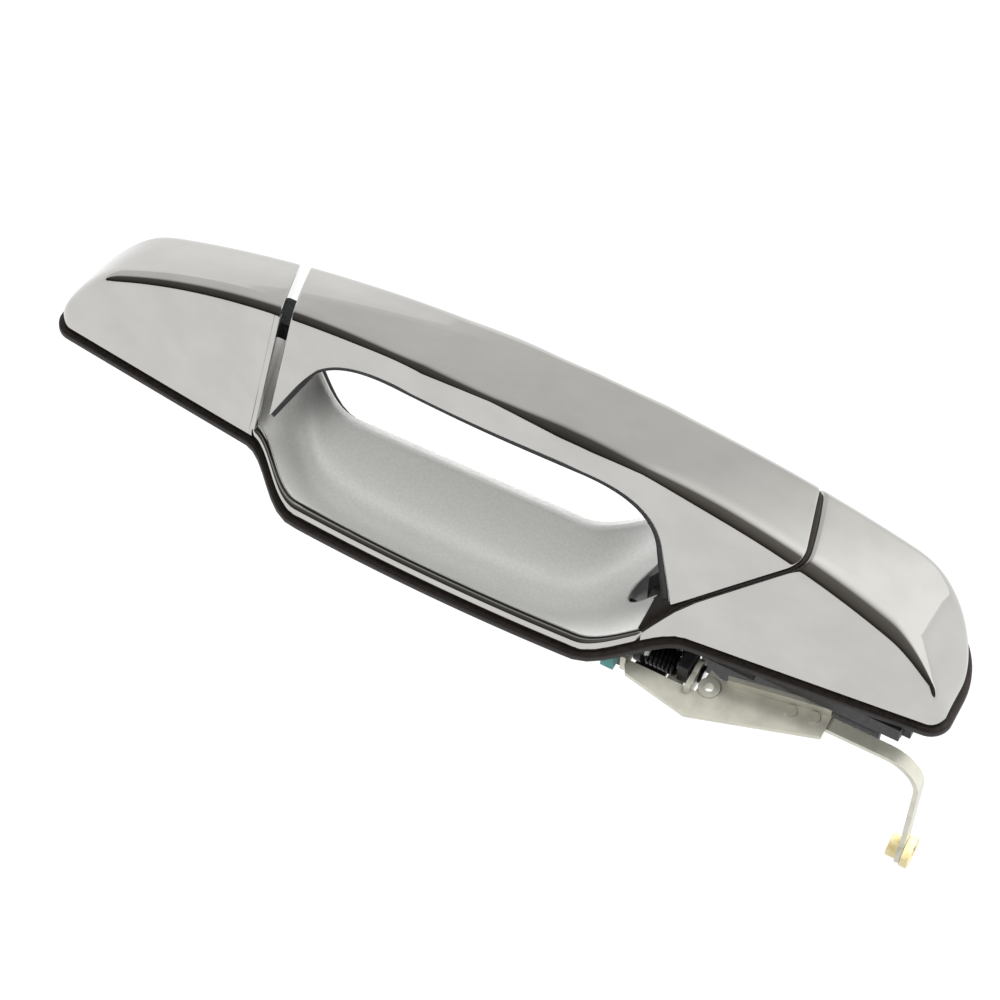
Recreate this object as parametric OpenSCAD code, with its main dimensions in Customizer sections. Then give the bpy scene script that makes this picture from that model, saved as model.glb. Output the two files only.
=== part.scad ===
// Exterior pull handle of a vehicle door.
// The handle lies on its back: Z = 0 is the outer face of the door skin and +Z points away from the door.
// +X runs towards the end that is pulled, -Y towards the hand entry under the strap.
// The origin is midway between the two mounting studs.

/* [Envelope] */
// Half of the overall length of the bezel
half_len = 131; // [125:1:135]
// Height of the crest above the door skin at mid length
crest_h = 59; // [57:0.5:61]
// Distance from the end at which the crest starts to turn down
end_run = 19; // [15:1:22]
// Lean of the lower facet, in mm inwards per mm of height
facet_lean = 0.19; // [0.16:0.01:0.22]
// Wall thickness of the chromed mouldings
wall = 2.5; // [2:0.1:2.8]

/* [Gaps] */
// Gap between the hinge end of the strap and the front cap
hinge_gap = 3; // [2.8:0.1:3.4]
// Gap across the slanted joint at the pull end
pull_gap = 2.4; // [2:0.1:3]
// Height of the finger opening under the strap
arch_h = 46.2; // [45:0.2:48]
// Backward slope of the underside of the strap
arch_tilt = 14; // [8:1:16]

/* [Scoop] */
// Depth of the finger scoop below its rim
scoop_depth = 17; // [13:1:18]
// Height of the lip above the gasket
lip_h = 4; // [3:0.5:5]
// Width of the lip
lip_w = 3.2; // [2.5:0.1:4]

/* [Gasket and studs] */
// Thickness of the gasket
gasket_t = 2.5; // [2:0.5:3]
// How far the gasket stands out round the bezel
gasket_out = 1.6; // [1:0.1:2]
// Distance between the two mounting studs
stud_spacing = 190; // [186:1:194]
// Radius of a mounting stud
stud_r = 3; // [2.5:0.5:3]
// Length of a mounting stud below the chassis
stud_len = 20; // [14:1:26]

/* [Hinge] */
// Position of the hinge pin along the handle
hinge_x = -76; // [-77:0.5:-75]
// Height of the hinge pin
hinge_z = 33; // [32:0.5:33.5]
// Radius of the hinge pin
hinge_r = 2.5; // [2:0.1:2.5]
// Width of the hinge arm
hinge_w = 8; // [7:0.5:8]

/* [Release lever] */
// Distance of the lever pin from the stud line, towards the hand entry
lever_y = -23; // [-23.5:0.5:-22.5]
// Height of the lever pin
lever_z = -12; // [-12.2:0.1:-11.8]
// Radius of the lever pin
lever_r = 2; // [1.8:0.1:2]
// Thickness of the lever's steel
sheet = 1.4; // [1.2:0.1:1.6]
// Lowest point of the lever arm's centre line, where the rod clip sits
clip_z = -57; // [-60:1:-50]
// Position of the rod clip along the handle
clip_x = 130.5; // [129:0.5:131]
// Radius of the bore for the latch rod
rod_r = 2.1; // [1.6:0.1:2.3]

/* [Hidden] */

step = 4.5;                     // spacing of the cross-sections, in degrees of a sine
far = 400;                     // reach of the cutting blocks
mid = half_len - end_run;      // where the ends start to round
near_r = 4;                    // plan rounding of the near corners
far_r = 24;                    // plan rounding of the far corners
far_lean = 0.1;                // draft of the far wall
near_end_y = 17.5;             // near edge of the bezel at its ends
near_grow = 0.11;              // growth of that edge towards the middle
gap_y = -0.3;                  // slant of the hinge gap across the handle
gap_z = 0.188;                 // slant of the hinge gap with height
gap_x = -72.2;                 // hinge gap at the origin
diag_x = 47.4;                 // slanted joint at the door skin
rim_in = 0.6;                  // how far the base rim stays inside the walls of the caps
rim_t = 2.6;                   // height of the base rim above the gasket
belly = 41.8;                  // reach of the scoop's lip towards the hand entry
belly_end = [-66, 64];         // ends of the belly along the handle
belly_run = 24;                // run of the belly's shoulders
rim_y = -5.3;                  // far rim of the scoop between the caps
arm_y = -5;                    // middle of the hinge arm across the handle
pocket = [52, -10];            // centre of the hole that the pull leg enters
pocket_r = 9.5;
boss_x = [-112, 80, 112];      // bosses that take the bezel screws
boss_y = -5;
plate_t = 6;                   // thickness of the chassis plates
stud_gap = 1.25;               // clearance round a stud in the chassis plate
seat_h = 0.4;                  // raised seat under the head of a stud
leg_w = [48, 54];              // pull leg along the handle, below the pocket
leg_z = -21;                   // foot of the pull leg
foot_t = 2.2;                  // thickness of the leg's foot
tab_z = -17.8;                 // underside of the lever's lifting tab
web_y = -16.2;                 // near face of the web behind the lever
rest_gap = 0.6;                // gap left round pieces that rest on each other

// ---------- curves that shape the envelope ----------
function smooth(t) = let (c = min(1, max(0, t))) c * c * (3 - 2 * c);
function mix(a, b, t) = a + (b - a) * t;
function arch(x) = crest_h - 19.5 * pow(x / 100, 2) - 2.3 * pow(x / 100, 4);
function corner(x, r) = let (e = max(0, abs(x) - half_len + r)) r - sqrt(max(0, r * r - e * e));
function fall(x) = let (e = min(0.995, max(0, abs(x) - mid) / end_run)) sqrt(1 - e * e);
function crest(x) = gasket_t + (arch(x) - gasket_t) * fall(x);
function near_foot(x) = -near_end_y - near_grow * (half_len - norm([x, 25])) + corner(x, near_r);
function far_foot(x) = 15 + 0.025 * x - corner(x, far_r);
function shoulder(x) = gasket_t + (crest(x) - gasket_t) * (0.764 - 0.022 * pow(x / 100, 2));

// Blend of a corner p1 between p0 and p2, as a curve of n + 1 points that starts r away from p1
function blend(p0, p1, p2, r, n) =
    let (d0 = min(r / norm(p0 - p1), 0.45), d2 = min(r / norm(p2 - p1), 0.45),
         a = mix(p1, p0, d0), c = mix(p1, p2, d2))
    [for (i = [0:n]) let (t = i / n) (1 - t) * (1 - t) * a + 2 * t * (1 - t) * p1 + t * t * c];

// One cross-section at station x, drawn inset by t, as [y, z] points from the near foot over the crest
function section(x, t, foot) =
    let (h = max(crest(x) - t, foot + 1.6),
         s = max(shoulder(x) - t, foot + 1.2),
         yn = near_foot(x) + t, yf = far_foot(x) - t,
         p0 = [yn, foot], p1 = [yn + facet_lean * (h - foot), h],
         p2 = [yf - far_lean * (s - foot), s], p3 = [yf, foot],
         crown = 1.2 * (h - foot) / crest_h)
    concat([p0], blend(p0, p1, p2, 3.6, 4),
           [for (q = [0.25, 0.5, 0.75]) mix(p1, p2, q) + [0, crown * 4 * q * (1 - q)]],
           blend(p1, p2, p3, 3, 4), [p3]);

// Closed solid through a list of rings that all have the same number of points
module loft(rings) {
    n = len(rings[0]);
    m = len(rings);
    polyhedron(
        points = [for (ring = rings) each ring],
        faces = concat(
            [[for (j = [n - 1:-1:0]) j]],
            [for (i = [0:m - 2], j = [0:n - 1])
                [i * n + j, i * n + (j + 1) % n, (i + 1) * n + (j + 1) % n, (i + 1) * n + j]],
            [[for (j = [0:n - 1]) (m - 1) * n + j]]));
}

// The whole outer shape without its gaps, inset by t
module envelope(t = 0, foot = gasket_t) {
    loft([for (a = [-90:step:90])
        let (s = sin(a)) [for (p = section(s * half_len, t, foot)) [s * (half_len - t), p[0], p[1]]]]);
}

// Everything on the front cap's side of the hinge gap, moved along by shift
module front_side(shift = 0) {
    multmatrix([[1, gap_y, gap_z, gap_x + shift], [0, 1, 0, 0], [0, 0, 1, 0]])
        translate([-far, -far / 2, -far / 2]) cube(far);
}

// Everything on the rear cap's side of the slanted joint, moved along by shift
module rear_side(shift = 0) {
    multmatrix([[1, 0, 1, diag_x + shift], [0, 1, 0, 0], [0, 0, 1, 0]])
        translate([0, -far / 2, -far / 2]) cube(far);
}

// Makes one closed mesh of a smooth moulding
module moulding() resize([0, 0, 0]) children();

// ---------- outline of the bezel's foot ----------
function belly_weight(x) = smooth((x - belly_end[0]) / belly_run) * smooth((belly_end[1] - x) / belly_run);
function near_edge(x) = mix(near_foot(x), 7.1 * pow(x / 100, 2) - belly, belly_weight(x));
function rim_weight(x) = smooth((x + 77) / 34) * smooth((57 - x) / 32);
function far_edge(x) = mix(far_foot(x), rim_y + 0.02 * x, rim_weight(x));

module foot_outline() {
    stations = [for (a = [-90:step:90]) half_len * sin(a)];
    n = len(stations);
    polygon(concat([for (x = stations) [x, near_edge(x)]],
                   [for (i = [n - 1:-1:0]) [stations[i], far_edge(stations[i])]]));
}

module foot_ring(w) {
    difference() {
        offset(delta = -rim_in) foot_outline();
        offset(delta = -w) foot_outline();
    }
}

// ---------- bezel ----------
function scoop_end(x) = max(0, 1 - pow(abs(x + 6) / 58, 4));
function scoop_z(x, t) = gasket_t + mix(lip_h, rim_t, t) - scoop_depth * scoop_end(x) * pow(sin(180 * t), 0.9);
function scoop_y(x, t) = mix(near_edge(x) + lip_w - 0.6, far_edge(x) - lip_w + 0.6, t);

module scoop() {
    steps = [0:1 / 12:1.001];
    loft([for (x = [-64:5:61])
        concat([for (t = steps) [x, scoop_y(x, t), scoop_z(x, t)]],
               [for (t = [1:-1 / 12:-0.001]) [x, scoop_y(x, max(0, t)), scoop_z(x, max(0, t)) - wall]])]);
}

module rim() {
    intersection() {
        union() {
            linear_extrude(rim_t) foot_ring(lip_w);
            linear_extrude(lip_h) intersection() {
                foot_ring(lip_w);
                translate([-70, -60]) square([130.3, 43.2]);
            }
        }
        translate([-far / 2, -far / 2, 0]) cube(far);
    }
}

module front_cap() {
    difference() {
        intersection() { envelope(); front_side(); }
        intersection() { envelope(wall, -1); front_side(-wall); }
        translate([hinge_x, arm_y - hinge_w / 2 - rest_gap, hinge_z - 6])
            cube([30, hinge_w + 2 * rest_gap, 14]);
    }
}

module rear_cap() {
    difference() {
        intersection() { envelope(); rear_side(); }
        intersection() { envelope(wall, -1); rear_side(wall * 1.4); }
    }
}

module bosses() {
    intersection() {
        for (x = boss_x) translate([x, boss_y, 0]) cylinder(r = 4, h = 60, $fn = 24);
        envelope(1, 0);
        union() {
            front_side(-1);
            rear_side(1.4);
        }
    }
}

module bezel() {
    color("#c9c9c6") moulding() difference() {
        union() {
            front_cap();
            rear_cap();
            scoop();
            translate([0, 0, gasket_t]) rim();
            bosses();
        }
        for (x = boss_x) translate([x, boss_y, -1]) cylinder(r = 2.1, h = 16, $fn = 24);
        translate([pocket[0], pocket[1], -30]) cylinder(r = pocket_r, h = 44, $fn = 40);
    }
}

module gasket() {
    color("#1c1715") linear_extrude(gasket_t) difference() {
        offset(delta = gasket_out) foot_outline();
        offset(delta = 0.8 - lip_w) foot_outline();
    }
}

// ---------- chassis and what is fixed to it ----------
module plate(x0, x1, y0, y1) {
    translate([x0, y0, -plate_t]) cube([x1 - x0, y1 - y0, plate_t]);
}

module ear(x0, w, top) {
    translate([x0, lever_y, lever_z]) rotate([0, 90, 0]) cylinder(r = 3.9, h = w, $fn = 48);
    translate([x0, lever_y - 3.9, lever_z]) cube([w, 7.8, top - lever_z]);
}

module chassis() {
    color("#222224") difference() {
        union() {
            plate(-119, -84, -13, 6);
            plate(-84, -76, -15, 3);
            plate(73, 121, -17, 11);
            translate([-77, -12, -19]) cube([9, 10, 19]);
            translate([-77, -12, -19]) cube([18, 8, 3.2]);
            translate([-61, -16, -19]) cube([8, 12, 3.2]);
            translate([-55, -21, -19]) cube([102.5, 7, 3.2]);
            translate([41, -27, -19]) cube([6.5, 11, 12]);
            translate([42, -20.5, -7.9]) cube([9, 5.5, 2.3]);
            translate([50, -20.5, -8]) cube([32, 5.5, 3.4]);
            difference() {
                translate([51, web_y, -22]) cube([65, 1.6, 17]);
                translate([59.8, web_y - 1, -23]) cube([6, 4, 13]);
            }
            translate([51, -26, -19]) cube([8.6, 10, 1.6]);
            translate([72, -20.5, -5.2]) cube([50, 2, 5]);
            translate([72, -18.6, -6]) cube([50, 2, 3]);
            translate([118, -17, -7.5]) cube([6, 5, 6.5]);
            ear(51, 2, -6);
            ear(63.5, 3, -6);
            for (x = [86, 104]) translate([x, -15, 0]) cube([2, 24, 4]);
            for (s = [-1, 1]) translate([s * stud_spacing / 2, 0, -1]) cylinder(r = 6.2, h = 1 + seat_h, $fn = 48);
        }
        for (x = boss_x) translate([x, boss_y, -30]) cylinder(r = 2.2, h = 40, $fn = 32);
        for (s = [-1, 1]) translate([s * stud_spacing / 2, 0, -30]) cylinder(r = stud_r + stud_gap, h = 40, $fn = 48);
        for (y = bracket_y) translate([-81, y, -30]) cylinder(r = 1.7, h = 40, $fn = 32);
        translate([45, lever_y, lever_z]) rotate([0, 90, 0]) cylinder(r = lever_r + 0.02, h = 25, $fn = 48);
    }
}

ear_t = 2.6;                                 // thickness of a hinge ear
ear_y = [arm_y - hinge_w / 2 - 0.4 - ear_t, arm_y + hinge_w / 2 + 0.4];
bracket_y = [arm_y - 3.2, arm_y + 3.2];      // screws of the hinge bracket

module hinge_bracket() {
    color("#8f9296") difference() {
        union() {
            translate([-85, ear_y[0], 0]) cube([9.5, ear_y[1] + ear_t - ear_y[0], 3]);
            translate([-85, ear_y[0], 0]) cube([8, ear_y[1] + ear_t - ear_y[0], 8]);
            for (y = ear_y) translate([0, y, 0]) {
                translate([-84, 0, 0]) cube([8, ear_t, 28]);
                translate([hinge_x, 0, hinge_z]) rotate([-90, 0, 0]) cylinder(r = 3.9, h = ear_t, $fn = 48);
                translate([-82, 0, 25]) cube([6, ear_t, hinge_z - 23.5]);
            }
        }
        translate([hinge_x, ear_y[0] - 1, hinge_z]) rotate([-90, 0, 0])
            cylinder(r = hinge_r + 0.02, h = 20, $fn = 48);
        for (y = bracket_y) translate([-81, y, -1]) cylinder(r = 1.7, h = 8.2, $fn = 32);
    }
}

module hinge_pin() {
    color("#b9bcc0") translate([hinge_x, ear_y[0] - 1.2, hinge_z]) rotate([-90, 0, 0])
        cylinder(r = hinge_r, h = ear_y[1] + ear_t - ear_y[0] + 2.4, $fn = 48);
}

// Retaining ring that is open on one side, in the XY plane
module e_clip(r, w) {
    difference() {
        cylinder(r = r + 0.45, h = w, $fn = 40);
        translate([0, 0, -1]) cylinder(r = r + 0.01, h = w + 2, $fn = 48);
        translate([-0.8, 0, -1]) cube([1.6, r + 3, w + 2]);
    }
}

module hinge_pin_clips() {
    color("#3c3c3e") for (y = [ear_y[0] - 0.9, ear_y[1] + ear_t + 0.1])
        translate([hinge_x, y, hinge_z]) rotate([-90, 0, 0]) e_clip(hinge_r, 0.8);
}

module bezel_screws() {
    color("#8c8a84") for (x = boss_x) translate([x, boss_y, 0]) {
        translate([0, 0, -plate_t - 2]) cylinder(r = 3.6, h = 2, $fn = 40);
        translate([0, 0, -plate_t]) cylinder(r = 1.95, h = plate_t + 13, $fn = 40);
    }
}

module bracket_screws() {
    color("#8c8a84") for (y = bracket_y) translate([-81, y, 0]) {
        translate([0, 0, -plate_t - 1.6]) cylinder(r = 2.8, h = 1.6, $fn = 40);
        translate([0, 0, -plate_t]) cylinder(r = 1.65, h = plate_t + 7, $fn = 40);
    }
}

module mounting_studs() {
    color("#d8cf9c") for (s = [-1, 1]) translate([s * stud_spacing / 2, 0, 0]) {
        translate([0, 0, seat_h]) cylinder(r = 6, h = 2, $fn = 48);
        translate([0, 0, -plate_t - stud_len]) cylinder(r = stud_r, h = plate_t + stud_len + seat_h, $fn = 48);
    }
}

module lever_pin() {
    color("#b9bcc0") translate([47.4, lever_y, lever_z]) rotate([0, 90, 0])
        cylinder(r = lever_r, h = 22.2, $fn = 48);
}

module lever_pin_clips() {
    color("#3c3c3e") for (x = [47.7, 68.7]) translate([x, lever_y, lever_z]) rotate([0, 90, 0])
        e_clip(lever_r, 0.7);
}

// Torsion spring: close coils about the lever pin with two straight legs
coil_r = 3.1;
wire_r = 0.55;
coils = 7;
coil_x = [54, 62.4];
sides = 8;
function wire_ring(c, right, up) =
    [for (k = [0:sides - 1]) c + wire_r * (cos(360 * k / sides) * right + sin(360 * k / sides) * up)];
function coil_point(a) =
    [mix(coil_x[0], coil_x[1], a / (360 * coils)), lever_y + coil_r * cos(a), lever_z + coil_r * sin(a)];

module return_spring() {
    color("#1b1b1c") {
        loft([for (a = [0:20:360 * coils]) wire_ring(coil_point(a), [0, cos(a), sin(a)], [1, 0, 0])]);
        for (x = coil_x) translate([x, lever_y + coil_r, lever_z]) cylinder(r = wire_r, h = 3.6, $fn = 8);
    }
}

module stop_bumper() {
    color("#3f8f8c") translate([44.6, -33, -12]) cube([3.6, 6, 8]);
}

// ---------- strap handle ----------
module arch_cut() {
    translate([0, -22, 0]) rotate([-arch_tilt, 0, 0]) translate([0, 60, 0]) rotate([90, 0, 0])
        linear_extrude(120) offset(r = 12) offset(delta = -12)
            polygon([[-66.6, 0], [-41, arch_h], [0, arch_h + 1], [49.4, arch_h - 1.8], [59.2, 0],
                     [70, -60], [-80, -60]]);
}

module strap(t = 0, recess = 0) {
    difference() {
        envelope(t, 0);
        front_side(hinge_gap + t);
        rear_side(-pull_gap - t * 1.4);
        translate([0, 0, recess]) arch_cut();
        translate([-far / 2, -far / 2, -far + 9]) cube(far);
    }
}

module handle_shell() {
    color("#cfcfcc") moulding() difference() {
        strap();
        strap(wall, -far / 8);
        translate([-64, arm_y - hinge_w / 2 - 0.1, hinge_z - 3.6]) cube([13, hinge_w + 0.2, 7.2]);
        leg_blade(0.1);
    }
}

// Part of the hinge arm that is buried in the strap
module tongue(extra = 0) {
    translate([-62, arm_y - hinge_w / 2 - extra, hinge_z - 3.5 - extra])
        cube([11.5 + extra, hinge_w + 2 * extra, 7 + 2 * extra]);
    translate([screw_x - 2 - extra, arm_y - hinge_w / 2 - extra, hinge_z])
        cube([4.6 + 2 * extra, hinge_w + 2 * extra, 11 + extra]);
}

screw_x = -53.6;
screw_y = [arm_y - 2.5, arm_y + 2.5];
leg_side = [[54.2, 38], [58, 33], [58.5, 14], [leg_w[1], 4], [leg_w[1], leg_z], [leg_w[0], leg_z],
            [leg_w[0], 6], [54, 16]];

module leg_blade(grow = 0) {
    translate([0, -4 + grow, 0]) rotate([90, 0, 0]) linear_extrude(10 + 2 * grow) offset(delta = grow)
        polygon(leg_side);
}

module handle_back() {
    color("#b4b4b2") moulding() difference() {
        strap(wall + 0.05, 0.6);
        tongue(0.1);
        leg_blade(0.1);
        for (y = screw_y) translate([screw_x, y, 5]) cylinder(r = 2.2, h = hinge_z - 5, $fn = 24);
    }
}

module hinge_arm() {
    color("#8f9296") difference() {
        union() {
            tongue();
            translate([hinge_x, arm_y - hinge_w / 2, hinge_z - 3.5]) cube([16, hinge_w, 7]);
            translate([hinge_x, arm_y - hinge_w / 2, hinge_z]) rotate([-90, 0, 0])
                cylinder(r = 4.4, h = hinge_w, $fn = 48);
        }
        translate([hinge_x, arm_y - hinge_w, hinge_z]) rotate([-90, 0, 0])
            cylinder(r = hinge_r + 1, h = 2 * hinge_w, $fn = 48);
        for (y = screw_y) translate([screw_x, y, hinge_z - 5]) cylinder(r = 1.3, h = 14, $fn = 24);
    }
}

module pivot_bush() {
    color("#e8e4d6") translate([hinge_x, arm_y - hinge_w / 2, hinge_z]) rotate([-90, 0, 0]) difference() {
        cylinder(r = hinge_r + 0.98, h = hinge_w, $fn = 48);
        translate([0, 0, -1]) cylinder(r = hinge_r + 0.05, h = hinge_w + 2, $fn = 48);
    }
}

module pull_leg() {
    color("#8f9296") union() {
        leg_blade();
        translate([leg_w[0], -4, leg_z]) cube([leg_w[1] - leg_w[0], 9, foot_t]);
        translate([leg_w[0], 2, leg_z]) cube([18, 3, foot_t]);
    }
}

module handle_screws() {
    color("#8c8a84") for (y = screw_y) translate([screw_x, y, hinge_z]) {
        translate([0, 0, -4.9]) cylinder(r = 2, h = 1.4, $fn = 32);
        translate([0, 0, -3.5]) cylinder(r = 1.25, h = 12, $fn = 32);
    }
}

module rest_bumpers() {
    color("#1f1f20") for (y = [-17, -1]) translate([13.4 + diag_x - pull_gap, y, 13.4]) rotate([0, 135, 0])
        cylinder(r = 2.4, h = 1.3, $fn = 32);
}

// ---------- release lever ----------
flange_turn = atan2(5.4, 29.4);              // slant of the lever plate's far edge
rivets = [[93.5, -21.9], [99.5, -20.8]];     // rivets that hold the arm under the plate

module lever_ear(x0) {
    difference() {
        union() {
            translate([x0, lever_y, lever_z]) rotate([0, 90, 0]) cylinder(r = 3.6, h = 1.5, $fn = 48);
            translate([x0, -30, lever_z - 3]) cube([1.5, 30 + lever_y, 6]);
        }
        translate([x0 - 1, lever_y, lever_z]) rotate([0, 90, 0]) cylinder(r = lever_r + 0.05, h = 4, $fn = 48);
    }
}

module lever_plate() {
    color("#d9d9d0") {
        difference() {
            translate([0, 0, lever_z - sheet]) linear_extrude(sheet) polygon(
                [[48.8, -28.2], [51.5, -32.2], [70, -35.8], [103.4, -24.8], [103.4, -16.6],
                 [74, -22], [70.5, -20.5], [69.6, -28.2]]);
            translate([72.4, -26, -30]) cylinder(r = 2.2, h = 30, $fn = 40);
            for (p = rivets) translate([p[0], p[1], -30]) cylinder(r = 1.25, h = 30, $fn = 32);
        }
        translate([76, -23.05, lever_z - sheet]) rotate([0, 0, flange_turn]) cube([27.6, sheet, sheet + 3]);
        lever_ear(48.8);
        lever_ear(67);
        translate([60.5, -31.4, tab_z]) cube([4.5, sheet, lever_z - tab_z - 0.2]);
        translate([60.5, -31.4, tab_z]) cube([4.5, 37.4, 1.6]);
    }
}

// Bent strip from the lever plate down to the rod clip
arm_w = 4;
bend_r = 11;
module lever_arm() {
    color("#d9d9d0") translate([0, -17.4 + arm_w / 2 - 4, 0]) difference() {
        union() {
            translate([90, -arm_w / 2, lever_z - 2 * sheet]) cube([clip_x - bend_r - 90, arm_w, sheet]);
            translate([90, -arm_w / 2 - 2.6, lever_z - 2 * sheet]) cube([12, arm_w, sheet]);
            translate([clip_x - bend_r, 0, lever_z - sheet - bend_r]) rotate([90, 0, 0])
                translate([0, 0, -arm_w / 2]) linear_extrude(arm_w) intersection() {
                    difference() { circle(r = bend_r, $fn = 64); circle(r = bend_r - sheet, $fn = 64); }
                    square(bend_r + 1);
                }
            translate([clip_x - sheet, -arm_w / 2, clip_z]) cube([sheet, arm_w, lever_z - sheet - bend_r - clip_z]);
            translate([clip_x - sheet, 0, clip_z]) rotate([0, 90, 0]) cylinder(r = 4.1, h = sheet, $fn = 48);
        }
        translate([clip_x - 5, 0, clip_z]) rotate([0, 90, 0]) cylinder(r = 3.05, h = 10, $fn = 48);
        for (p = rivets) translate([p[0], p[1] + 19.4, -30]) cylinder(r = 1.25, h = 30, $fn = 32);
    }
}

module lever_rivets() {
    color("#c8c6bb") for (p = rivets) translate([p[0], p[1], lever_z]) {
        cylinder(r = 1.7, h = 0.6, $fn = 32);
        translate([0, 0, -2 * sheet]) cylinder(r = 1.2, h = 2 * sheet, $fn = 32);
        translate([0, 0, -2 * sheet - 0.8]) cylinder(r = 1.7, h = 0.8, $fn = 32);
    }
}

module lever_eyelet() {
    color("#e6e5dc") translate([72.4, -26, lever_z - sheet - 0.7]) difference() {
        union() {
            cylinder(r = 2.9, h = 0.7, $fn = 48);
            translate([0, 0, 0.7]) cylinder(r = 2.15, h = sheet, $fn = 48);
            translate([0, 0, 0.7 + sheet]) cylinder(r = 2.9, h = 0.9, $fn = 48);
        }
        translate([0, 0, -1]) cylinder(r = 1.3, h = 6, $fn = 40);
    }
}

module rod_clip() {
    color("#e9d9a2") translate([clip_x, -19.4, clip_z]) rotate([0, 90, 0]) difference() {
        union() {
            translate([0, 0, -sheet - 2.9]) cylinder(r = 3.4, h = 2.8, $fn = 48);
            translate([0, 0, -sheet - 0.2]) cylinder(r = 3, h = sheet + 1.4, $fn = 48);
            translate([0, 0, 0.15]) cylinder(r = 4.5, h = 2.1, $fn = 48);
        }
        translate([0, 0, -10]) cylinder(r = rod_r, h = 20, $fn = 48);
    }
}

bezel();
gasket();
chassis();
hinge_bracket();
hinge_pin();
hinge_pin_clips();
bezel_screws();
bracket_screws();
mounting_studs();
lever_pin();
lever_pin_clips();
return_spring();
stop_bumper();
handle_shell();
handle_back();
hinge_arm();
pivot_bush();
pull_leg();
handle_screws();
rest_bumpers();
lever_plate();
lever_arm();
lever_rivets();
lever_eyelet();
rod_clip();
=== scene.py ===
import math

import bmesh
import bpy
from mathutils import Matrix, Vector


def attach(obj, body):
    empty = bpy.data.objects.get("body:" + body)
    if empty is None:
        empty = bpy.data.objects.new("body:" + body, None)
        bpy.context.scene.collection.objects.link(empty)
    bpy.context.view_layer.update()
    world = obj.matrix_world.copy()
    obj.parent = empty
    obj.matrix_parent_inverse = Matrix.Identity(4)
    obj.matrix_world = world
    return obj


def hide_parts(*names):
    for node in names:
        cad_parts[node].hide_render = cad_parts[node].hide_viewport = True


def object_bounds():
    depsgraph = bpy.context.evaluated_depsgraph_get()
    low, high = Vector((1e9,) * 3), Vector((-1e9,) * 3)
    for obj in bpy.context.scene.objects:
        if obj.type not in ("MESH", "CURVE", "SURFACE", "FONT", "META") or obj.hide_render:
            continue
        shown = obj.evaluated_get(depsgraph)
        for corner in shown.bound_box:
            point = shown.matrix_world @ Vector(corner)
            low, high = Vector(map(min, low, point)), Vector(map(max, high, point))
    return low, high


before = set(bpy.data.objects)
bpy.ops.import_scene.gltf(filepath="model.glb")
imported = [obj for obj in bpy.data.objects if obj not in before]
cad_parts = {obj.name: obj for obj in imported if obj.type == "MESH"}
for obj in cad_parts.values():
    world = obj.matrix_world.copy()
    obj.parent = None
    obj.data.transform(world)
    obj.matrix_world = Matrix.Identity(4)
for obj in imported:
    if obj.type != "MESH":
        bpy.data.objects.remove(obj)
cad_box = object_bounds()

# An exterior vehicle door handle: a chromed bezel with two caps and a finger scoop, a hinged chromed strap
# that bridges them, a rubber gasket, and a black carrier below with the release lever.
# Shapes are worked out in millimetres and scaled to metres as the last step of each mesh.

MM = 0.001

# ---------- driving sizes: the CAD's own, except where a comment says otherwise ----------
HALF_LEN = 131.0          # half of the bezel's length
CREST_H = 59.0            # height of the crest at mid length
CREST_DROP = (19.5, 2.3)  # fall of the crest 100 mm from mid length: square and fourth-power parts
END_RUN = 19.0            # length over which an end turns down
SHOULDER_SHARE, SHOULDER_DROP = 0.764, 0.022     # height of the far shoulder against the crest
FACET_LEAN = 0.19         # lean of the lower facet
FAR_LEAN = 0.1            # draft of the far wall
FOOT = 2.5                # top of the gasket, where the chrome starts
NEAR_R, FAR_R = 4.0, 24.0     # plan rounding of the near and far corners
NEAR_END_Y, NEAR_GROW, NEAR_SOFT = 17.5, 0.11, 25.0     # near foot: place at the ends, growth, soft middle
FAR_Y, FAR_SKEW = 15.0, 0.025                # far foot at mid length, and its skew
GAP_X, GAP_Y, GAP_Z = -72.2, -0.3, 0.188     # plane of the front cap's end face
DIAG_X = 47.4                                # plane of the rear cap's end face, at 45 degrees
HINGE_GAP, PULL_GAP = 3.0, 1.8               # gaps between strap and caps; the CAD's pull gap is 2.4
BELLY, BELLY_ENDS, BELLY_RUN, BELLY_BOW = 41.8, (-66.0, 64.0), 24.0, 7.1     # hand entry of the scoop
RIM_Y, RIM_SKEW = -5.3, 0.02                 # far rim of the scoop
RIM_ENDS, RIM_RUNS = (-77.0, 57.0), (34.0, 32.0)     # where that rim leaves the far foot
GASKET_OUT = 1.6          # reach of the gasket past the chrome
LIP_H, LIP_W = 4.0, 3.2   # lip of the scoop
RIM_T = 2.6               # far rim of the scoop above the gasket
SCOOP_DEPTH, BOWL_POWER = 17.0, 0.9          # depth of the scoop, and fullness of its bowl
SCOOP_MID, SCOOP_HALF = -6.0, 58.0           # middle and half length of the scoop's floor
POCKET = (52.0, -10.0)    # centre of the hole that the pull leg enters
POCKET_R = 9.5
ARCH_TILT, ARCH_Y = math.radians(14), -22.0  # backward slope of the strap's underside, and where it pivots

# ---------- sizes of the finer skins, which the CAD draws more plainly ----------
CREASE_R = (4.4, 6.6)     # rounding of the near crease at the front and rear ends
SHOULDER_R = 3.0          # rounding of the far shoulder
CROWN, CROWN_BLEND = 1.0, 60.0               # fullness of the upper facet, and the blend that spreads it
FLARE_H, FLARE_RUN = 6.0, 16.0               # height at which a cap's foot starts to flare, and its run
CAP_EDGE_R, STRAP_EDGE_R, SCOOP_EDGE_R = 0.8, 0.5, 1.4
CAP_WALL, SCOOP_WALL = 1.6, 1.2
BENDS, RUNS, FOOT_STEPS = 9, 9, 12           # samples of a corner, of a straight run and of a cap's foot


# ---------- curves of the outer form ----------
def mix(a, b, t):
    return a + (b - a) * t


def smooth(t):
    t = min(1.0, max(0.0, t))
    return t * t * (3 - 2 * t)


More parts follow.
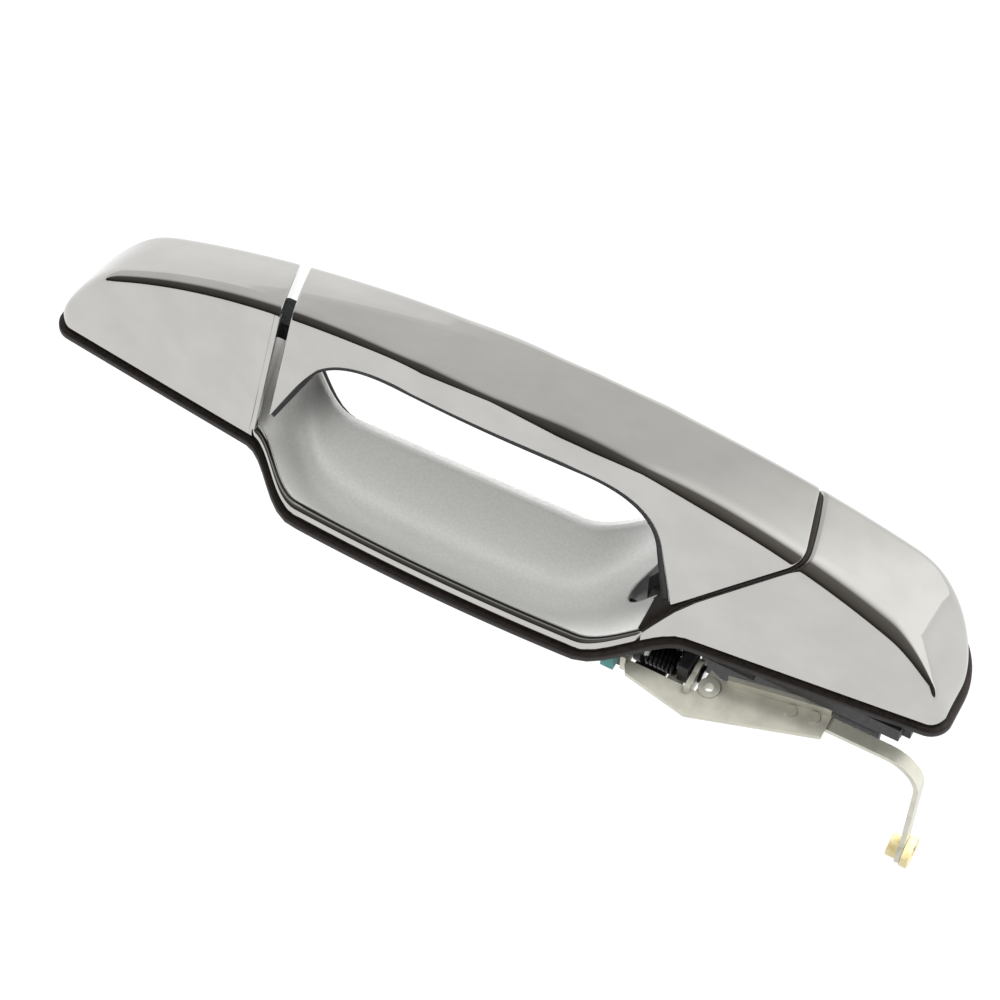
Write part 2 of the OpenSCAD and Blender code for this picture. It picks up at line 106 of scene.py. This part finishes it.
def arch_top(x):
    u = x / 100
    return CREST_H - CREST_DROP[0] * u ** 2 - CREST_DROP[1] * u ** 4


def corner(x, r):
    e = min(r, max(0.0, abs(x) - HALF_LEN + r))
    return r - math.sqrt(r * r - e * e)


def fall(x):
    e = min(1.0, max(0.0, abs(x) - HALF_LEN + END_RUN) / END_RUN)
    return math.sqrt(1 - e * e)


def crest(x):
    return FOOT + (arch_top(x) - FOOT) * fall(x)


def shoulder(x):
    return FOOT + (crest(x) - FOOT) * (SHOULDER_SHARE - SHOULDER_DROP * (x / 100) ** 2)


def near_foot(x):
    return -NEAR_END_Y - NEAR_GROW * (HALF_LEN - math.hypot(x, NEAR_SOFT)) + corner(x, NEAR_R)


def far_foot(x):
    return FAR_Y + FAR_SKEW * x - corner(x, FAR_R)


def near_edge(x):
    weight = smooth((x - BELLY_ENDS[0]) / BELLY_RUN) * smooth((BELLY_ENDS[1] - x) / BELLY_RUN)
    return mix(near_foot(x), BELLY_BOW * (x / 100) ** 2 - BELLY, weight)


def far_edge(x):
    weight = smooth((x - RIM_ENDS[0]) / RIM_RUNS[0]) * smooth((RIM_ENDS[1] - x) / RIM_RUNS[1])
    return mix(far_foot(x), RIM_Y + RIM_SKEW * x, weight)


def crease_r(x):
    return mix(*CREASE_R, (x + HALF_LEN) / (2 * HALF_LEN))


def front_plane(p, shift=0.0):
    return GAP_X + shift + GAP_Y * p.y + GAP_Z * p.z


def rear_plane(p, shift=0.0):
    return p.z + DIAG_X + shift


def meet(make, plane, x, shift=0.0, steps=14, pull=0.8):
    """The station at which a line of points, made from x, runs into a plane."""
    for _ in range(steps):
        x = mix(x, plane(make(x), shift), pull)
    return x


# ---------- making meshes ----------
WELD, SLIVER = 1e-6, 1e-7     # metres: points this close are one, and edges this short are dropped


def bend(a, corner_point, c, t):
    return a * (1 - t) ** 2 + corner_point * (2 * t * (1 - t)) + c * t ** 2


def rounded(points, sizes, bends, runs, closed=False):
    """Points along a path whose corners are blended; a size of 0 keeps a corner or an open end."""
    last = len(points) - 1
    arcs = []
    for k, (p, size) in enumerate(zip(points, sizes)):
        if size == 0:
            arcs.append([p])
            continue
        before, after = points[k - 1] - p, points[(k + 1) % len(points)] - p
        a = p + before * min(size / max(before.length, 1e-6), 0.45)
        c = p + after * min(size / max(after.length, 1e-6), 0.45)
        arcs.append([bend(a, p, c, i / bends) for i in range(bends + 1)])
    path = []
    for k, arc in enumerate(arcs):
        path += arc
        if closed or k < last:
            following = arcs[(k + 1) % len(arcs)][0]
            path += [mix(arc[-1], following, i / runs) for i in range(1, runs)]
    return path


def finish_mesh(bm, name, material, body):
    bmesh.ops.remove_doubles(bm, verts=bm.verts, dist=WELD)
    bmesh.ops.dissolve_degenerate(bm, edges=bm.edges, dist=SLIVER)
    mesh = bpy.data.meshes.new(name)
    bm.to_mesh(mesh)
    bm.free()
    for face in mesh.polygons:
        face.use_smooth = True
    mesh.materials.append(material)
    piece = bpy.data.objects.new(name, mesh)
    bpy.context.scene.collection.objects.link(piece)
    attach(piece, body)
    return piece


def skin(name, rings, material, body, closed=False, inner=None, cap_ends=False):
    """A grid laid over a list of rings; an open skin's faces are turned away from the point inner."""
    rows, cols = len(rings), len(rings[0])
    wrap = cols if closed else cols - 1
    bm = bmesh.new()
    bmesh.ops.create_grid(bm, x_segments=rows - 1, y_segments=wrap, size=1.0)
    for vert in bm.verts:
        i = round((vert.co.x + 1) / 2 * (rows - 1))
        j = round((vert.co.y + 1) / 2 * wrap) % cols
        vert.co = rings[i][j] * MM
    bmesh.ops.remove_doubles(bm, verts=bm.verts, dist=WELD)
    if cap_ends:
        bmesh.ops.holes_fill(bm, edges=bm.edges, sides=0)
    bmesh.ops.recalc_face_normals(bm, faces=bm.faces)
    if inner is not None:
        centre = Vector(inner) * MM
        bm.normal_update()
        score = sum(f.normal.dot(f.calc_center_median() - centre) * f.calc_area() for f in bm.faces)
        if score < 0:
            bmesh.ops.reverse_faces(bm, faces=bm.faces)
    return finish_mesh(bm, name, material, body)


def thicken(piece, thickness):
    wall = piece.modifiers.new("wall", "SOLIDIFY")
    wall.thickness = thickness * MM
    wall.offset = -1


# ---------- materials ----------
def colour(code):
    """Linear colour of an sRGB hex code."""
    parts = [int(code[i:i + 2], 16) / 255 for i in (1, 3, 5)]
    return [c / 12.92 if c <= 0.04045 else ((c + 0.055) / 1.055) ** 2.4 for c in parts] + [1.0]


def add_node(tree, kind, links=(), inputs=(), **settings):
    """Adds a node, sets its properties and inputs, and links other nodes' outputs into it."""
    item = tree.nodes.new(kind)
    for key, value in settings.items():
        setattr(item, key, value)
    for key, value in dict(inputs).items():
        item.inputs[key].default_value = value
    for key, source in dict(links).items():
        tree.links.new(source, item.inputs[key])
    return item


def ramp_colours(item, stops):
    """Sets the stops of a colour ramp from (place, hex code) pairs."""
    stops = list(stops)
    elements = item.color_ramp.elements
    while len(elements) < len(stops):
        elements.new(0.5)
    for element, (place, code) in zip(elements, stops):
        element.position = place
        element.color = colour(code)


TINT_SPAN, GLOSS_SPAN = (0.35, 0.65), (0.3, 0.7)     # noise values spread over the tints and the gloss


def surface(name, low, high, grain_mm, metallic, roughness, bump_mm, rough_swing, detail=3.0):
    """A finish whose colour, roughness and relief vary with one noise pattern of a real grain size."""
    material = bpy.data.materials.new(name)
    material.use_nodes = True
    tree = material.node_tree
    shader = tree.nodes["Principled BSDF"]
    shader.inputs["Metallic"].default_value = metallic
    place = add_node(tree, "ShaderNodeTexCoord")
    grain = add_node(tree, "ShaderNodeTexNoise", {"Vector": place.outputs["Object"]},
                     {"Scale": 1 / (grain_mm * MM), "Detail": detail, "Roughness": 0.55})
    tint = add_node(tree, "ShaderNodeValToRGB", {"Fac": grain.outputs["Fac"]})
    ramp_colours(tint, zip(TINT_SPAN, (low, high)))
    tree.links.new(tint.outputs["Color"], shader.inputs["Base Color"])
    gloss = add_node(tree, "ShaderNodeMapRange", {"Value": grain.outputs["Fac"]},
                     {"From Min": GLOSS_SPAN[0], "From Max": GLOSS_SPAN[1],
                      "To Min": roughness - rough_swing / 2, "To Max": roughness + rough_swing / 2})
    tree.links.new(gloss.outputs["Result"], shader.inputs["Roughness"])
    if bump_mm:
        relief = add_node(tree, "ShaderNodeBump", {"Height": grain.outputs["Fac"]},
                          {"Distance": bump_mm * MM, "Strength": 1.0})
        tree.links.new(relief.outputs["Normal"], shader.inputs["Normal"])
    return material


# Chrome plating on moulded ABS: a clear mirror with a faint polish haze.
chrome = surface("chrome_plated_abs", "#bab9b6", "#c0bfbc", 14.0, 1.0, 0.05, 0.0, 0.03)
# Scoop: a light grey satin whose pale, even tone is a painted reflection. It stands in for the chromed
# bowl mirroring the pale surroundings, and keeps only a soft broad reflection of its own.
scoop_painted_reflection = surface("satin_grey_painted_reflection", "#cfcfcd", "#d8d8d6", 0.7, 0.1, 0.38, 0.0, 0.06)
# Extruded EPDM rubber: matt black with a faint brown bloom.
rubber = surface("extruded_epdm_rubber", "#151110", "#211b18", 1.4, 0.0, 0.55, 0.04, 0.15)
# Moulded glass-filled nylon: black, with a grained half-matt face.
nylon = surface("moulded_black_nylon", "#151517", "#232326", 0.8, 0.0, 0.48, 0.05, 0.2)
# Zinc-plated pressed steel: pale, slightly yellow, with a cloudy passivated spangle.
zinc_sheet = surface("zinc_plated_pressed_steel", "#cbcabd", "#dddbcd", 5.0, 0.35, 0.42, 0.03, 0.16, 5.0)
# Die-cast zinc: dark grey, darkened to match how the hinge looks inside its gap, with a fine sandy skin.
cast_zinc = surface("dark_die_cast_zinc", "#28292b", "#3a3b3e", 0.9, 0.4, 0.4, 0.05, 0.12)
# Ground steel pin: bright, with a slightly uneven polish.
bright_steel = surface("ground_steel", "#b4b7bb", "#cdd0d3", 1.2, 1.0, 0.2, 0.01, 0.08)
# Oil-tempered spring wire: near black, with a low oily sheen.
spring_steel = surface("oil_tempered_spring_wire", "#1a1a1b", "#323234", 0.9, 0.9, 0.32, 0.02, 0.12)
# Zinc-plated machine screws: dull silver with a fine cloudy grain.
zinc_screw = surface("zinc_plated_screw", "#8f8d86", "#b2b0a8", 1.0, 1.0, 0.34, 0.02, 0.1)
# Yellow-passivated studs: pale gold, uneven in tint and gloss.
yellow_zinc = surface("yellow_passivated_steel", "#b9a65c", "#d6c88a", 1.6, 1.0, 0.34, 0.02, 0.12)
# Moulded EPDM stop block: teal, with a soft grained face.
teal_rubber = surface("moulded_teal_rubber", "#33807d", "#479a96", 1.2, 0.0, 0.5, 0.03, 0.12)
# Turned acetal bush: milky white, slightly waxy.
acetal = surface("turned_acetal", "#ddd9ca", "#ece8da", 1.5, 0.0, 0.35, 0.01, 0.1)
# Moulded natural nylon rod clip: cream, with a low sheen.
cream_nylon = surface("moulded_cream_nylon", "#dccb90", "#efe2b4", 1.5, 0.0, 0.4, 0.02, 0.12)

NODE_FINISH = {
    "bezel": chrome, "gasket": rubber, "chassis": nylon, "hinge_bracket": cast_zinc,
    "hinge_pin": bright_steel, "hinge_pin_clips": spring_steel, "bezel_screws": zinc_screw,
    "bracket_screws": zinc_screw, "mounting_studs": yellow_zinc, "lever_pin": bright_steel,
    "lever_pin_clips": spring_steel, "return_spring": spring_steel, "stop_bumper": teal_rubber,
    "handle_shell": chrome, "handle_back": chrome, "hinge_arm": cast_zinc, "pivot_bush": acetal,
    "pull_leg": cast_zinc, "handle_screws": zinc_screw, "rest_bumpers": rubber,
    "lever_plate": zinc_sheet, "lever_arm": zinc_sheet, "lever_rivets": zinc_sheet,
    "lever_eyelet": zinc_sheet, "rod_clip": cream_nylon,
}
for node_name, finish in NODE_FINISH.items():
    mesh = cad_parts[node_name].data
    mesh.materials.clear()
    mesh.materials.append(finish)


# ---------- caps ----------
def cap_profile(x):
    """The outer section of a cap at station x, from the near foot over the crest to the far foot."""
    h, s = crest(x), shoulder(x)
    yn, yf = near_foot(x), far_foot(x)
    near_top = Vector((x, yn + FACET_LEAN * (h - FOOT), h))
    far_top = Vector((x, yf - FAR_LEAN * (s - FOOT), s))
    middle = (near_top + far_top) / 2 + Vector((0, 0, CROWN * (h - FOOT) / CREST_H))
    path = rounded([Vector((x, yn, FOOT)), near_top, middle, far_top, Vector((x, yf, FOOT))],
                   [0, crease_r(x), CROWN_BLEND, SHOULDER_R, 0], BENDS, RUNS)
    path = [mix(path[0], path[2], i / FOOT_STEPS) for i in range(FOOT_STEPS)] + path[2:]
    flare = near_edge(x) - yn
    for p in path[:RUNS + FOOT_STEPS - 1]:     # the lower facet, up to the crease
        p.y += flare * (1 - smooth((p.z - FOOT - FLARE_H) / FLARE_RUN))
    return path


def cap_rings(tip, plane, stations):
    """Rings from the rounded tip of a cap to its end face, round the edge and across the face."""
    count = len(cap_profile(0))
    ends = [meet(lambda x: cap_profile(x)[j], plane, 0.6 * tip) for j in range(count)]
    back = math.copysign(CAP_EDGE_R, tip)

    def ring(share, inset=0.0):
        return [cap_profile(mix(tip, ends[j] + inset, share))[j] for j in range(count)]

    rings = [ring(1 - math.cos(math.pi / 2 * i / stations), back) for i in range(stations + 1)]
    edge = ring(1)
    foot = (edge[0] + edge[-1]) / 2
    inner = [e + (foot - e).normalized() * CAP_EDGE_R for e in edge]
    start = rings[-1]
    for i in range(1, 8):
        rings.append([bend(a, e, c, i / 7) for a, e, c in zip(start, edge, inner)])
    for share in (0.35, 0.7, 1.0):
        rings.append([mix(c, foot, share) for c in inner])
    return rings


front_cap = skin("bezel_front_cap", cap_rings(-HALF_LEN, front_plane, 44), chrome, "base",
                 inner=(-100, -5, 8))
rear_cap = skin("bezel_rear_cap", cap_rings(HALF_LEN, rear_plane, 52), chrome, "base",
                inner=(100, -5, 8))
for cap in (front_cap, rear_cap):
    thicken(cap, CAP_WALL)
    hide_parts("bezel")


# ---------- dark sheet on the face of the rear joint: painted shade in the gap ---
def joint_ring(shift, inset):
    """The outline of the rear cap's end face, drawn in by inset and moved along by shift."""
    count = len(cap_profile(0))
    edge = []
    for j in range(count):
        x = meet(lambda x: cap_profile(x)[j], rear_plane, 70.0)
        edge.append(cap_profile(x)[j])
    centre = (edge[0] + edge[-1] + edge[count // 2]) / 3
    return [e + (centre - e).normalized() * inset + Vector((shift, 0, -shift)) for e in edge]


def chord(edge):
    """Points along the straight line between the two feet of an outline."""
    last = len(edge) - 1
    return [mix(edge[0], edge[-1], j / last) for j in range(last + 1)]


# A thin slab in the gasket's black rubber, laid on the rear cap's end face so that the face reads dark:
# painted shade for the shadowed gap at the rear joint.
def joint_shade_sheet(front_shift=-0.45, back_shift=0.2, inset=0.95):
    front, back = joint_ring(front_shift, inset), joint_ring(back_shift, inset)
    rings = [chord(front), front, back, chord(back)]
    shade_sheet = skin("rear_joint_shade_sheet", rings, rubber, "base", inner=(80, -5, 20))
    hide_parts("bezel")


joint_shade_sheet()


# ---------- finger scoop ----------
def bowl(t):
    """Depth of the scoop across its width, 0 at both rims."""
    return max(0.0, math.sin(math.pi * t)) ** BOWL_POWER


def scoop_end(x):
    """Share of the full depth at station x, 0 at both ends of the floor."""
    return max(0.0, 1 - (abs(x - SCOOP_MID) / SCOOP_HALF) ** 4)


def scoop_profile(x, steps=40, tuck=1.2, rim_w=2.0, lip_step=0.5):
    """Section of the scoop from under the lip, tucked in and a step below its top, to the far rim."""
    y0, y1 = near_edge(x), far_edge(x)
    a, b = y0 + LIP_W - tuck, y1 - rim_w
    floor = []
    for i in range(steps + 1):
        t = i / steps
        z = FOOT + mix(LIP_H - lip_step, RIM_T, t) - SCOOP_DEPTH * scoop_end(x) * bowl(t)
        floor.append(Vector((x, mix(a, b, t), z)))
    rim = rounded([Vector((x, b, FOOT + RIM_T)), Vector((x, y1, FOOT + RIM_T)), Vector((x, y1, FOOT))],
                  [0, 1.2, 0], 6, 3)
    return floor + rim[1:]


def scoop_rings(stations, overlap=0.4, rear_x=54.0, pocket_reach=11.5):
    """Rings from just inside the front cap to the edge round the pocket, and down into the pocket."""
    count = len(scoop_profile(0))
    left = [meet(lambda x: scoop_profile(x)[j], front_plane, -66.0, steps=12, pull=1.0) - overlap
            for j in range(count)]
    right = []
    for j in range(count):
        q = (scoop_profile(50)[j].y - POCKET[1]) / POCKET_R
        right.append(rear_x - (pocket_reach * math.sqrt(1 - q * q) if abs(q) < 1 else 0.0))
    rings = []
    for i in range(stations + 1):
        share = i / stations
        rings.append([scoop_profile(mix(left[j], right[j], share))[j] for j in range(count)])
    edge = [scoop_profile(right[j] + SCOOP_EDGE_R)[j] for j in range(count)]
    down = [e - Vector((0, 0, SCOOP_EDGE_R)) for e in edge]
    start = rings[-1]
    for i in range(1, 6):
        rings.append([bend(a, e, c, i / 5) for a, e, c in zip(start, edge, down)])
    for depth in (5, 12):
        rings.append([p - Vector((0, 0, depth)) for p in down])
    return rings


# The scoop takes the light grey satin, a painted reflection in place of chrome.
scoop = skin("bezel_scoop", scoop_rings(90), scoop_painted_reflection, "base", inner=(0, -20, -60))
thicken(scoop, SCOOP_WALL)
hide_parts("bezel")


def lip_ring(x):
    """Closed section of the chromed lip that runs along the near edge of the scoop."""
    y0, top = near_edge(x), FOOT + LIP_H
    return rounded([Vector((x, y0, FOOT)), Vector((x, y0 + 0.3, top)), Vector((x, y0 + LIP_W, top)),
                    Vector((x, y0 + LIP_W, FOOT + 1))],
                   [0.3, 1.9, 1.2, 0.3], 9, 3, closed=True)


LIP_ENDS, LIP_STEPS = (-64.8, 54.0), 110
lip_stations = [mix(*LIP_ENDS, i / LIP_STEPS) for i in range(LIP_STEPS + 1)]
lip = skin("bezel_lip", [lip_ring(x) for x in lip_stations], chrome, "base", closed=True, cap_ends=True)
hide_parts("bezel")


# ---------- gasket ----------
def outline(step=1.5):
    """The foot of the bezel as a closed loop of points, near side first; step is in degrees of a sine."""
    angles = [math.radians(-90 + step * i) for i in range(int(180 / step) + 1)]
    near = [Vector((HALF_LEN * math.sin(a), near_edge(HALF_LEN * math.sin(a)), 0)) for a in angles]
    far = [Vector((HALF_LEN * math.sin(a), far_edge(HALF_LEN * math.sin(a)), 0)) for a in reversed(angles)]
    side = [mix(near[-1], far[0], i / 4) for i in range(1, 4)]
    other = [mix(far[-1], near[0], i / 4) for i in range(1, 4)]
    return near + side + far + other


def gasket_rings():
    """The gasket's section, which tapers a little towards its top, carried round the foot."""
    loop = outline()
    count = len(loop)
    inside = -LIP_W + 0.8
    section = rounded([Vector((inside, 0, 0)), Vector((GASKET_OUT, 0, 0)),
                       Vector((GASKET_OUT - 0.2, 0, FOOT)), Vector((inside, 0, FOOT - 0.02))],
                      [0.3, 0.7, 0.9, 0.3], 4, 2, closed=True)
    rings = []
    for k, p in enumerate(loop):
        along = (loop[(k + 1) % count] - loop[k - 1]).normalized()
        out = Vector((along.y, -along.x, 0))
        rings.append([p + out * q.x + Vector((0, 0, q.z)) for q in section])
    return rings + [rings[0]]


gasket = skin("door_gasket", gasket_rings(), rubber, "base", closed=True)
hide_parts("gasket")


# ---------- strap ----------
def arch_path(bends=22, runs=24):
    """The edge of the finger opening as (x, height) points, from the front leg to the rear leg."""
    corners = [Vector((-59.9, 0, 12.3)), Vector((-43.5, 0, 46.4)), Vector((3.0, 0, 46.9)),
               Vector((49.2, 0, 44.7)), Vector((56.7, 0, 11.4))]
    return rounded(corners, [0, 23, 30, 20, 0], bends, runs)


def tilted(height, y):
    """Height at y of the sloping underside whose height at ARCH_Y is given along its own normal."""
    return (height - math.sin(ARCH_TILT) * (y - ARCH_Y)) / math.cos(ARCH_TILT)


def bottom_corner(x, height, side):
    """Where the underside meets the lower facet or the far wall."""
    y = near_foot(x) if side == "near" else far_foot(x)
    z = height
    for _ in range(5):
        z = tilted(height, y)
        if side == "near":
            y = near_foot(x) + FACET_LEAN * (z - FOOT)
        else:
            y = far_foot(x) - FAR_LEAN * (z - FOOT)
    return Vector((x, y, z))


def top_corner(x, side):
    if side == "near":
        return Vector((x, near_foot(x) + FACET_LEAN * (crest(x) - FOOT), crest(x)))
    return Vector((x, far_foot(x) - FAR_LEAN * (shoulder(x) - FOOT), shoulder(x)))


def strap_rings(turn=0.22):
    """Closed sections along the arch; over the share turn of its path an end leans to its gap's plane."""
    path = arch_path()
    count = len(path) - 1
    ends = ((front_plane, HINGE_GAP, path[0], -62), (rear_plane, -PULL_GAP, path[-1], 70))
    low = {side: [meet(lambda x: bottom_corner(x, p.z, side), plane, guess, shift, 20, 0.7)
                  for plane, shift, p, guess in ends] for side in ("near", "far")}
    top = {side: [meet(lambda x: top_corner(x, side), plane, guess, shift, 20, 0.7)
                  for plane, shift, _, guess in ends] for side in ("near", "far")}
    rings = []
    for k, p in enumerate(path):
        share = k / count
        start, stop = 1 - smooth(share / turn), smooth((share - (1 - turn)) / turn)
        foot = {}
        for side in ("near", "far"):
            lean = start * (low[side][0] - path[0].x) + stop * (low[side][1] - path[-1].x)
            foot[side] = bottom_corner(p.x + lean, p.z, side)
        head = {side: top_corner(mix(*top[side], share), side) for side in ("near", "far")}
        middle = (head["near"] + head["far"]) / 2
        middle.z += CROWN * (middle.z - FOOT) / CREST_H
        rings.append(rounded([foot["near"], head["near"], middle, head["far"], foot["far"]],
                             [1.2, crease_r(p.x), CROWN_BLEND, SHOULDER_R, 2.0], BENDS, RUNS, closed=True))
    for first in (True, False):
        edge = rings[0] if first else rings[-1]
        inside = rings[1] if first else rings[-2]
        centre = sum(edge, Vector()) / len(edge)
        start = [e + (s - e).normalized() * STRAP_EDGE_R for e, s in zip(edge, inside)]
        face = [e + (centre - e).normalized() * STRAP_EDGE_R for e in edge]
        extra = [[bend(a, e, c, i / 5) for a, e, c in zip(start, edge, face)] for i in range(6)]
        extra += [[mix(c, centre, share) for c in face] for share in (0.5, 1.0)]
        if first:
            rings = list(reversed(extra)) + rings[1:]
        else:
            rings = rings[:-1] + extra
    return rings


strap = skin("handle_strap", strap_rings(), chrome, "handle", closed=True)
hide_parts("handle_shell")


def cover_rings(depth=0.9, inset=0.35):
    """A thin cover that lines the underside of the strap, set in a little from both of its edges."""
    path = arch_path()[2:-2]
    rings = []
    for k, p in enumerate(path):
        near, far = bottom_corner(p.x, p.z, "near"), bottom_corner(p.x, p.z, "far")
        across = (far - near).normalized()
        ahead = path[min(k + 1, len(path) - 1)] - path[max(k - 1, 0)]
        down = across.cross(ahead).normalized()
        if down.z > 0 or (down.z > -0.2 and down.dot(Vector((-p.x, 0, 0))) < 0):
            down.negate()
        low = down * depth
        rings.append([near + across * inset - low, far - across * inset - low,
                      far - across * inset + low, near + across * inset + low])
    return rings


cover = skin("handle_back_cover", cover_rings(), nylon, "handle", closed=True, cap_ends=True)
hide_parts("handle_back")


# ---------- studio, in metres ----------
FLOOR_Z = cad_box[0][2] - 0.001     # just clear of the lowest part
FLOOR_REACH = 4.0


def studio_floor():
    """A plain sweep that glows a little, so it stays evenly pale under the softboxes."""
    bm = bmesh.new()
    bmesh.ops.create_grid(bm, x_segments=1, y_segments=1, size=FLOOR_REACH)
    bmesh.ops.translate(bm, verts=bm.verts, vec=(0, 0, FLOOR_Z))
    mesh = bpy.data.meshes.new("studio_floor")
    bm.to_mesh(mesh)
    bm.free()
    material = bpy.data.materials.new("white_sweep_paper")
    material.use_nodes = True
    shader = material.node_tree.nodes["Principled BSDF"]
    shader.inputs["Base Color"].default_value = colour("#404040")
    shader.inputs["Roughness"].default_value = 0.9
    shader.inputs["Specular IOR Level"].default_value = 0.1
    shader.inputs["Emission Color"].default_value = colour("#ffffff")
    shader.inputs["Emission Strength"].default_value = 0.98
    mesh.materials.append(material)
    floor = bpy.data.objects.new("studio_floor", mesh)
    bpy.context.scene.collection.objects.link(floor)


def studio_world():
    """Pale beyond the object, dim from overhead down to the near horizon, and brighter towards +X."""
    world = bpy.data.worlds.new("studio")
    world.use_nodes = True
    tree = world.node_tree
    back = tree.nodes["Background"]
    place = add_node(tree, "ShaderNodeTexCoord")
    axes = add_node(tree, "ShaderNodeSeparateXYZ", {"Vector": place.outputs["Generated"]})
    away = add_node(tree, "ShaderNodeMath", {0: axes.outputs["Y"]}, {1: -1.0}, operation="MULTIPLY")
    angle = add_node(tree, "ShaderNodeMath", {0: axes.outputs["Z"], 1: away.outputs["Value"]},
                     operation="ARCTAN2")
    share = add_node(tree, "ShaderNodeMapRange", {"Value": angle.outputs["Value"]},
                     {"From Min": -math.pi, "From Max": math.pi})
    band = add_node(tree, "ShaderNodeValToRGB", {"Fac": share.outputs["Result"]})
    # degrees in the YZ plane, from the near horizon (0) over the top (90) to the far horizon (180)
    stops = ((-8, "#f4f4f2"), (-2, "#1f1b19"), (25, "#4c4945"), (92, "#62605c"), (118, "#d9d9d8"),
             (135, "#eeeeec"), (180, "#eeeeec"))
    ramp_colours(band, [((a + 180) / 360, code) for a, code in stops])
    tree.links.new(band.outputs["Color"], back.inputs["Color"])
    side = add_node(tree, "ShaderNodeMapRange", {"Value": axes.outputs["X"]},
                    {"From Min": 0.0, "From Max": 0.4, "To Min": 0.95, "To Max": 1.7})
    tree.links.new(side.outputs["Result"], back.inputs["Strength"])
    bpy.context.scene.world = world


def soft_light(name, place, aim, size, power):
    data = bpy.data.lights.new(name, "AREA")
    data.shape = "RECTANGLE"
    data.size, data.size_y = size
    data.energy = power
    lamp = bpy.data.objects.new(name, data)
    bpy.context.scene.collection.objects.link(lamp)
    lamp.location = place
    lamp.rotation_euler = (Vector(aim) - Vector(place)).to_track_quat("-Z", "Y").to_euler()
    return lamp


def studio_camera():
    azimuth, elevation, roll = (math.radians(d) for d in (27.76, 55.0, 1.2))
    distance, lens = 0.7505, 102.4
    back = Vector((math.sin(azimuth) * math.cos(elevation), -math.cos(azimuth) * math.cos(elevation),
                   math.sin(elevation)))
    right = Vector((math.cos(azimuth), math.sin(azimuth), 0))
    up = back.cross(right)
    across = right * math.cos(roll) + up * math.sin(roll)
    rise = up * math.cos(roll) - right * math.sin(roll)
    data = bpy.data.cameras.new("camera")
    data.lens = lens
    data.sensor_width = 36
    data.shift_x, data.shift_y = -0.01024, -0.02379
    data.clip_start, data.clip_end = 0.01, 20
    camera = bpy.data.objects.new("camera", data)
    turn = Matrix((across, rise, back)).transposed().to_4x4()
    camera.matrix_world = Matrix.Translation(back * distance) @ turn
    bpy.context.scene.collection.objects.link(camera)
    bpy.context.scene.camera = camera


studio_floor()
studio_world()
studio_camera()
key = soft_light("key_softbox", (0.3, 0.5, 1.3), (0, 0, 0), (1.2, 0.8), 48)
fill = soft_light("fill_softbox", (-0.25, -0.9, 1.2), (0, -0.02, 0), (0.9, 0.9), 13)
for lamp in (key, fill):
    lamp.visible_glossy = False
bpy.context.scene.view_settings.view_transform = "Standard"
